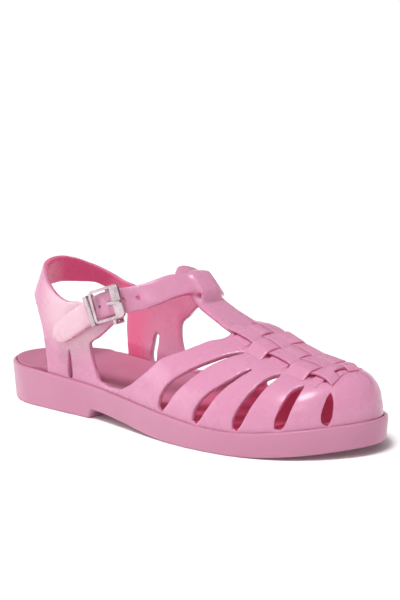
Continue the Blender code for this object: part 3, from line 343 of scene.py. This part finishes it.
def moulded_pvc(name, colour, deep, roughness, gloss=PVC_GLOSS, shade_and_glow=None, painted_sheen=None, tread_and_shade=None):
    """Soft moulded PVC: cloudy colour, light that goes a little way in, and the mould's fine haze."""
    made, tree, shader, where = new_material(name)
    cloud = add_noise(tree, where, scale=26.0, detail=4.0, roughness=0.55)
    tint = add_ramp(tree, cloud, [(0.30, deep), (0.68, colour)])
    # Painted sheen: a paler colour where the heel straps catch the light
    if painted_sheen:
        tint = add_mix(tree, add_share(tree, "painted_sheen"), tint, painted_sheen)
    # Painted shade on the faces that face the inside, and a painted glow there as emission
    if shade_and_glow:
        inside = add_share(tree, "shade_and_glow")
        tint = add_mix(tree, inside, tint, shade_and_glow)
        tree.links.new(add_range(tree, inside, 0.0, WALL_GLOW, 0.0, 1.0), shader.inputs["Emission Strength"])
        shader.inputs["Emission Color"].default_value = WALL_LIGHT
    # Painted shade: the underside turns a deeper pink
    if tread_and_shade:
        tint = add_mix(tree, add_share(tree, "tread_and_shade"), tint, tread_and_shade)
    tree.links.new(tint, shader.inputs["Base Color"])
    streak = add_noise(tree, where, scale=90.0, detail=3.0, roughness=0.6)
    tree.links.new(add_range(tree, streak, roughness - 0.05, roughness + 0.07), shader.inputs["Roughness"])
    fine = add_noise(tree, where, scale=900.0, detail=2.0, roughness=0.5)
    soft = add_noise(tree, where, scale=120.0, detail=2.0, roughness=0.5)
    normal = add_bump(tree, soft, 0.12, SOFT_DEPTH)
    normal = add_bump(tree, fine, 0.07, HAZE_DEPTH, normal)
    if tread_and_shade:
        normal = add_bump(tree, tread_ribs(tree, where), 0.8, RIB_DEPTH, normal)
    tree.links.new(normal, shader.inputs["Normal"])
    shader.inputs["Subsurface Weight"].default_value = 0.10
    shader.inputs["Subsurface Radius"].default_value = (1.0, 0.42, 0.62)
    shader.inputs["Subsurface Scale"].default_value = GLOW_REACH
    shader.inputs["IOR"].default_value = 1.5
    shader.inputs["Specular IOR Level"].default_value = gloss
    shader.inputs["Coat Weight"].default_value = gloss * COAT_SHARE
    shader.inputs["Coat Roughness"].default_value = 0.14
    return made


def nickel(name):
    """Polished nickel plate with faint handling scratches; its pink tint is a painted reflection of the
    straps around it.
    """
    made, tree, shader, where = new_material(name)
    cloud = add_noise(tree, where, scale=240.0, detail=3.0, roughness=0.6)
    tint = add_ramp(tree, cloud, [(0.35, NICKEL_DARK), (0.65, NICKEL_LIGHT)])
    tree.links.new(tint, shader.inputs["Base Color"])
    shader.inputs["Metallic"].default_value = 1.0
    tree.links.new(add_range(tree, cloud, 0.16, 0.30), shader.inputs["Roughness"])
    scratch = add_noise(tree, where, scale=2600.0, detail=2.0, roughness=0.7)
    tree.links.new(add_bump(tree, scratch, 0.25, SCRATCH_DEPTH), shader.inputs["Normal"])
    return made


# Shapes


def copy_of(node):
    """The node's mesh as a mesh of its own, with its loose triangles merged."""
    work = bmesh.new()
    work.from_mesh(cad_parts[node].data)
    bmesh.ops.remove_doubles(work, verts=work.verts, dist=WELD)
    mesh = bpy.data.meshes.new(node + "_shape")
    work.to_mesh(mesh)
    work.free()
    mesh.materials.clear()
    return add_object(node + "_shape", mesh)


def settle(piece):
    """Turns the piece's modifiers into its mesh."""
    bpy.context.view_layer.update()
    graph = bpy.context.evaluated_depsgraph_get()
    mesh = bpy.data.meshes.new_from_object(piece.evaluated_get(graph))
    piece.modifiers.clear()
    piece.data = mesh
    return piece


def grain(piece, size):
    """Gives the solid one even fine mesh."""
    even = piece.modifiers.new("even", "REMESH")
    even.mode = "VOXEL"
    even.voxel_size = size
    return settle(piece)


def read(items, name, kind=float, width=1):
    """One value, or a row of them, for each of a mesh's items."""
    held = np.empty(len(items) * width, kind)
    items.foreach_get(name, held)
    return held.reshape(-1, width) if width > 1 else held


def unit(vectors):
    return vectors / np.maximum(np.linalg.norm(vectors, axis=1), 1e-12)[:, None]


def summed(index, values, count):
    return np.stack([np.bincount(index, weights=values[:, k], minlength=count) for k in range(3)], 1)


def in_weave(points):
    """1 where a point lies in the woven part of the vamp, else 0."""
    low, high = WEAVE_ZONE
    return ((points > low) & (points < high)).all(1).astype(float)


def even_out(piece, rounds, moves, crisp):
    """Smooths the flats and curves between the solid's edges, and keeps the sharp edges."""
    mesh = piece.data
    points = read(mesh.vertices, "co", width=3)
    faces = len(mesh.polygons)
    sizes = read(mesh.polygons, "loop_total", int)
    loops = read(mesh.loops, "vertex_index", int)
    edges = read(mesh.loops, "edge_index", int)
    owner = np.repeat(np.arange(faces), sizes)
    normals = read(mesh.polygons, "normal", width=3)
    areas = read(mesh.polygons, "area")
    order = np.argsort(edges, kind="stable")
    shared = edges[order][:-1] == edges[order][1:]
    one, two = owner[order][:-1][shared], owner[order][1:][shared]
    first, least = (math.cos(math.radians(corner)) for corner in (FIRST_CORNER, KEPT_CORNER))
    hold = 1.0
    if crisp:
        middles = summed(owner, points[loops], faces) / sizes[:, None]
        hold = 1.0 - WEAVE_HOLD * in_weave(middles)[one]
    for turn in range(rounds):
        alike = (normals[one] * normals[two]).sum(1)
        edge = first if turn < FIRST_ROUNDS else least
        weight = np.clip((alike - edge) / (1 - edge), 0.0, 1.0) ** 2 * hold
        total = normals * areas[:, None]
        total += summed(one, normals[two] * (weight * areas[two])[:, None], faces)
        total += summed(two, normals[one] * (weight * areas[one])[:, None], faces)
        normals = unit(total)
    around = np.bincount(loops, minlength=len(points))
    for _ in range(moves):
        centres = summed(owner, points[loops], faces) / sizes[:, None]
        reach = ((centres[owner] - points[loops]) * normals[owner]).sum(1)
        points = points + summed(loops, normals[owner] * reach[:, None], len(points)) / around[:, None]
    mesh.vertices.foreach_set("co", points.ravel())
    mesh.update()


def thin_out(piece, most):
    """Brings the triangle count under the most, where the surface is flattest."""
    count = sum(len(p.vertices) - 2 for p in piece.data.polygons)
    if count > most:
        fewer = piece.modifiers.new("fewer", "DECIMATE")
        fewer.ratio = most / count
        settle(piece)


def calm_shading(piece):
    """Evens the shading of the fine mesh and keeps it apart across edges."""
    mesh = piece.data
    normals = unit(read(mesh.vertex_normals, "vector", width=3))
    one, two = read(mesh.edges, "vertices", int, 2).T
    for _ in range(CALM_ROUNDS):
        apart = 1.0 - (normals[one] * normals[two]).sum(1)
        weight = np.exp(-(apart / CALM_ALIKE) ** 2)[:, None]
        total = normals + summed(one, normals[two] * weight, len(normals))
        normals = unit(total + summed(two, normals[one] * weight, len(normals)))
    for face in mesh.polygons:
        face.use_smooth = True
    mesh.normals_split_custom_set_from_vertices([tuple(n) for n in normals])


def ramped(values, low, high):
    share = np.clip((values - low) / (high - low), 0.0, 1.0)
    return share * share * (3 - 2 * share)


def store(piece, name, values):
    held = piece.data.attributes.new(name, "FLOAT", "POINT")
    held.data.foreach_set("value", values.astype(np.float32))


def mark_sides(piece):
    """Stores the painted shade and glow on the faces that face the inside, and the painted sheen where the
    heel straps catch the light.
    """
    points = read(piece.data.vertices, "co", width=3)
    normals = read(piece.data.vertex_normals, "vector", width=3)
    x, y, z = points.T
    level = z - (z - LOWER_MIDDLE) * ramped(x, *VAMP_ALONG)
    middle = np.stack([np.clip(x, BAND_MIDDLE, TOE_MIDDLE), np.full(len(x), FOOT_MIDDLE), level], 1)
    outward = unit(points - middle)
    facing = (outward * normals).sum(1)
    medial_leg = ramped(y, *LEG_ACROSS) * ramped(x, *LEG_BACK) * (1.0 - ramped(x, *LEG_FRONT))
    low_leg = medial_leg * (1.0 - ramped(z, *LEG_UP))
    # Painted shade and glow on the inside faces, less of it on the lit medial leg
    store(piece, "shade_and_glow", ramped(-facing, 0.0, 0.35) * (1.0 - LEG_PALER * medial_leg - LEG_PALER * low_leg))
    # Painted sheen on the outward faces around the heel straps
    near = np.linalg.norm((np.stack([x, np.abs(y - FOOT_MIDDLE), z], 1) - SHEEN_PLACE) / SHEEN_REACH, axis=1)
    store(piece, "painted_sheen", (1.0 - ramped(near, 0.35, 1.0)) * ramped(facing, 0.0, 0.4))


def finish_piece(piece, name, material, node, sharp=None):
    piece.name = name
    piece.data.name = name
    piece.data.materials.clear()
    piece.data.materials.append(material)
    for face in piece.data.polygons:
        face.use_smooth = True
        face.material_index = 0
    if sharp:
        piece.data.set_sharp_from_angle(angle=math.radians(sharp))
    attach(piece, "root")
    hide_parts(node)
    return piece


def moulded(node, name, material, size, rounds, moves):
    """A soft moulding: one even mesh with smooth flats and crisp corners."""
    piece = grain(copy_of(node), size * COARSER)
    even_out(piece, rounds, moves, node == "upper")
    if node == "upper":
        bed_weave(piece)
    thin_out(piece, MOST_TRIANGLES)
    mark_sides(piece)
    calm_shading(piece)
    return finish_piece(piece, name, material, node)


# Weave


def spline(rows, place):
    """A point on the smooth curve through the rows; past either end it runs on straight."""
    last = len(rows) - 1
    k = int(min(max(math.floor(place), 0), last - 1))
    share = place - k
    start, end = rows[k], rows[k + 1]
    into = (end - rows[k - 1]) / 2 if k > 0 else end - start
    away = (rows[k + 2] - start) / 2 if k + 2 <= last else end - start
    if share < 0:
        return start + into * share
    if share > 1:
        return end + away * (share - 1)
    s2, s3 = share ** 2, share ** 3
    return ((2 * s3 - 3 * s2 + 1) * start + (s3 - 2 * s2 + share) * into
            + (3 * s2 - 2 * s3) * end + (s3 - s2) * away)


def weave_skin(row, column):
    return spline([spline(WEAVE_SKIN[k], column) for k in range(len(WEAVE_SKIN))], row)


def weave_frame(row, column):
    """A point of the skin, with the directions to the toe, to the medial side and out of the shoe."""
    step = 0.02
    ahead = weave_skin(row + step, column) - weave_skin(row - step, column)
    aside = weave_skin(row, column + step) - weave_skin(row, column - step)
    out = np.cross(ahead, aside)
    return weave_skin(row, column), *(way / np.linalg.norm(way) for way in (ahead, aside, out))


def beyond(row, column):
    """How far a place lies past the weave's border, in rows or columns."""
    return max(-row, row - STRAPS, -column, column - COLUMNS, 0.0)


def bed_weave(upper):
    """Presses the moulded strips flat where the woven bands lie on them."""
    rows = np.linspace(-BED_PAST_ROWS, STRAPS + BED_PAST_ROWS, BED_ROWS)
    columns = np.linspace(-BED_PAST_COLUMNS, COLUMNS + BED_PAST_COLUMNS, BED_COLUMNS)
    samples = [(row, column, weave_frame(row, column)) for row in rows for column in columns]
    tree = KDTree(len(samples))
    for k, sample in enumerate(samples):
        tree.insert(sample[2][0], k)
    tree.balance()
    mesh = upper.data
    points = read(mesh.vertices, "co", width=3)
    for i in np.flatnonzero(in_weave(points)):
        row, column, (place, _, _, out) = samples[tree.find(points[i])[1]]
        lift = float((points[i] - place) @ out)
        most = WEAVE_BED + BED_RIM * min(beyond(row, column) / BED_RIM_WIDTH, 1.0)
        if most < lift < BED_RIM:
            points[i] -= out * (lift - most)
    mesh.vertices.foreach_set("co", points.ravel())
    mesh.update()


def woven_lift(place, over_first, ends):
    """How far a band stands off the skin: it goes over and under by turns, and sinks in past its ends."""
    inside = min(max(place, 0.5), ends - 0.5)
    wave = math.cos(math.pi * (inside - 0.5)) * (1 if over_first else -1)
    wave = math.copysign(abs(wave) ** BAND_SHARPNESS, wave)
    lift = BAND_UNDER + (BAND_OVER - BAND_UNDER) * (wave + 1) / 2
    past = max(0.5 - place, place - (ends - 0.5), 0.0)
    sunk = float(ramped(past, *(OVER_FADE if wave > 0 else UNDER_FADE)))
    return lift + (BAND_SUNK - lift) * sunk


def seated(row, column, surface):
    """A point of the skin and its directions, let down on the moulded surface past the weave's border."""
    place, ahead, aside, out = weave_frame(row, column)
    outside = beyond(row, column)
    if outside > 0:
        hit = surface.ray_cast(Vector(place + out * SEAT_FROM), Vector(-out), SEAT_REACH)[0]
        if hit is not None:
            drop = float((np.array(hit) - place) @ out)
            place = place + out * (drop * float(ramped(outside, 0.0, SEAT_BLEND)))
    return place, ahead, aside, out


def band_ribbon(bands, faces, points):
    """Adds one flat ribbon, a few quads wide, along each band's course."""
    across = len(BAND_STRIP)
    for course, width in bands:
        start = len(points)
        for place, aside in course:
            points += [place + aside * (width * share) for share in BAND_STRIP]
        for i in range(len(course) - 1):
            for k in range(across - 1):
                a = start + across * i + k
                faces.append([a, a + 1, a + across + 1, a + across])


def woven_bands(material, upper):
    """Three long bands woven through the five cross straps, as thick soft ribbons."""
    corners = [vertex.co for vertex in upper.data.vertices]
    surface = BVHTree.FromPolygons(corners, [face.vertices for face in upper.data.polygons])
    bands = []
    for column in range(COLUMNS):
        course = []
        for row in np.linspace(-LONG_PAST_ANKLE, STRAPS + LONG_PAST_TOE, LONG_STEPS):
            place, _, aside, out = seated(row, column + 0.5, surface)
            course.append((place + out * woven_lift(row, column % 2 == 0, STRAPS), aside))
        bands.append((course, LONG_BAND_WIDTH))
    for row in range(STRAPS):
        course = []
        for column in np.linspace(-CROSS_PAST, COLUMNS + CROSS_PAST, CROSS_STEPS):
            place, ahead, _, out = seated(row + 0.5, column, surface)
            course.append((place + out * woven_lift(column, row % 2 == 1, COLUMNS), -ahead))
        pitch = np.linalg.norm(weave_skin(row + 1, 1.5) - weave_skin(row, 1.5))
        bands.append((course, CROSS_BAND_SHARE * pitch))
    points, faces = [], []
    band_ribbon(bands, faces, points)
    mesh = bpy.data.meshes.new("woven_bands")
    mesh.from_pydata([tuple(p) for p in points], [], faces)
    mesh.update()
    made = add_object("woven_bands", mesh)
    grow = made.modifiers.new("thick", "NODES")
    grow.node_group = ribbon_tree()
    give(grow, "Thickness", BAND_THICKNESS)
    give(grow, "Rounding", ROUNDING)
    give(grow, "Finish", material)
    settle(made)
    face_out(made)
    carry(made, "woven_bands")


def ribbon_tree():
    """Thickens flat ribbons inwards, closes them and rounds their edges."""
    tree = bpy.data.node_groups.new("soft_ribbon", "GeometryNodeTree")
    for name, way, kind in (("Geometry", "INPUT", "Geometry"), ("Thickness", "INPUT", "Float"),
                            ("Rounding", "INPUT", "Int"), ("Finish", "INPUT", "Material"),
                            ("Geometry", "OUTPUT", "Geometry")):
        tree.interface.new_socket(name, in_out=way, socket_type="NodeSocket" + kind)
    source, end = tree.nodes.new("NodeGroupInput"), tree.nodes.new("NodeGroupOutput")
    inwards = tree.nodes.new("ShaderNodeMath")
    inwards.operation = "MULTIPLY"
    inwards.inputs[1].default_value = -1.0
    push = tree.nodes.new("GeometryNodeExtrudeMesh")
    push.inputs["Individual"].default_value = False
    both = tree.nodes.new("GeometryNodeJoinGeometry")
    flip = tree.nodes.new("GeometryNodeFlipFaces")
    weld = tree.nodes.new("GeometryNodeMergeByDistance")
    weld.inputs["Distance"].default_value = RIBBON_WELD
    soft = tree.nodes.new("GeometryNodeSubdivisionSurface")
    real = tree.nodes.new("GeometryNodeRealizeInstances")
    paint = tree.nodes.new("GeometryNodeSetMaterial")
    join = tree.links.new
    join(source.outputs["Thickness"], inwards.inputs[0])
    join(source.outputs["Geometry"], push.inputs["Mesh"])
    join(inwards.outputs[0], push.inputs["Offset Scale"])
    join(source.outputs["Geometry"], flip.inputs["Mesh"])
    join(push.outputs["Mesh"], both.inputs[0])
    join(flip.outputs["Mesh"], both.inputs[0])
    join(both.outputs[0], weld.inputs["Geometry"])
    join(weld.outputs["Geometry"], soft.inputs["Mesh"])
    join(source.outputs["Rounding"], soft.inputs["Level"])
    join(soft.outputs["Mesh"], real.inputs["Geometry"])
    join(real.outputs["Geometry"], paint.inputs["Geometry"])
    join(source.outputs["Finish"], paint.inputs["Material"])
    join(paint.outputs["Geometry"], end.inputs["Geometry"])
    return tree


def give(modifier, name, value):
    """Sets a named input of the modifier's tree by its identifier."""
    for socket in modifier.node_group.interface.items_tree:
        if socket.in_out == "INPUT" and socket.name == name:
            modifier[socket.identifier] = value


def face_out(piece):
    work = bmesh.new()
    work.from_mesh(piece.data)
    bmesh.ops.recalc_face_normals(work, faces=work.faces)
    work.to_mesh(piece.data)
    work.free()


def carry(piece, name):
    """A piece of the scene's own, which rides on the sandal."""
    piece.name = name
    piece.data.name = name
    for face in piece.data.polygons:
        face.use_smooth = True
    piece.data.set_sharp_from_angle(angle=math.radians(BAND_SHARP))
    mark_sides(piece)
    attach(piece, "root")


# Sole and metal


def eased(node, width):
    """A copy of the node with rounded edges."""
    piece = copy_of(node)
    ease = piece.modifiers.new("ease", "BEVEL")
    ease.width = width
    ease.segments = EASE_STEPS
    ease.limit_method = "ANGLE"
    ease.angle_limit = math.radians(EASE_FROM)
    ease.use_clamp_overlap = True
    return settle(piece)


def edged(node, name, material):
    """A moulded solid kept as built, with eased edges, and its underside stored for the tread ribs and a
    painted shade.
    """
    piece = eased(node, SOLE_EASE)
    mark_sides(piece)
    rising = read(piece.data.vertex_normals, "vector", width=3)[:, 2]
    store(piece, "tread_and_shade", (rising < TREAD_FACING).astype(float))
    finish_piece(piece, name, material, node, SOLE_SHARP)


def plated(node, name, material):
    """A pressed metal part with eased edges."""
    finish_piece(eased(node, PLATE_EASE), name, material, node, PLATE_SHARP)


def deepen_front(footbed):
    """The footbed turns deeper pink under the vamp, where little light comes."""
    x = read(footbed.data.vertices, "co", width=3)[:, 0]
    shade = FRONT_SHADE * ramped(x, *FOOTBED_ALONG)
    footbed.data.attributes["shade_and_glow"].data.foreach_set("value", shade.astype(np.float32))


def main():
    set_camera()
    set_studio()
    upper_pvc = moulded_pvc("upper_pvc", UPPER_PINK, UPPER_DEEP, 0.27,
                            shade_and_glow=UPPER_INSIDE_SHADE, painted_sheen=UPPER_PAINTED_SHEEN)
    sole_pvc = moulded_pvc("sole_pvc", SOLE_PINK, SOLE_DEEP, 0.36, tread_and_shade=UNDERSIDE_SHADE)
    footbed_pvc = moulded_pvc("footbed_pvc", FOOTBED_PINK, FOOTBED_DEEP, 0.60, FOOTBED_GLOSS, FOOTBED_SHADE)
    upper = moulded("upper", "moulded_upper", upper_pvc, UPPER_GRAIN, rounds=60, moves=25)
    woven_bands(upper_pvc, upper)
    edged("outsole", "moulded_sole", sole_pvc)
    footbed = moulded("footbed", "insole_plate", footbed_pvc, FOOTBED_GRAIN, rounds=40, moves=15)
    deepen_front(footbed)
    plated("buckle_frame", "buckle_plate", nickel("frame_nickel"))
    plated("buckle_prong", "buckle_tongue", nickel("prong_nickel"))
    plated("keeper_loop", "strap_keeper", nickel("keeper_nickel"))


main()
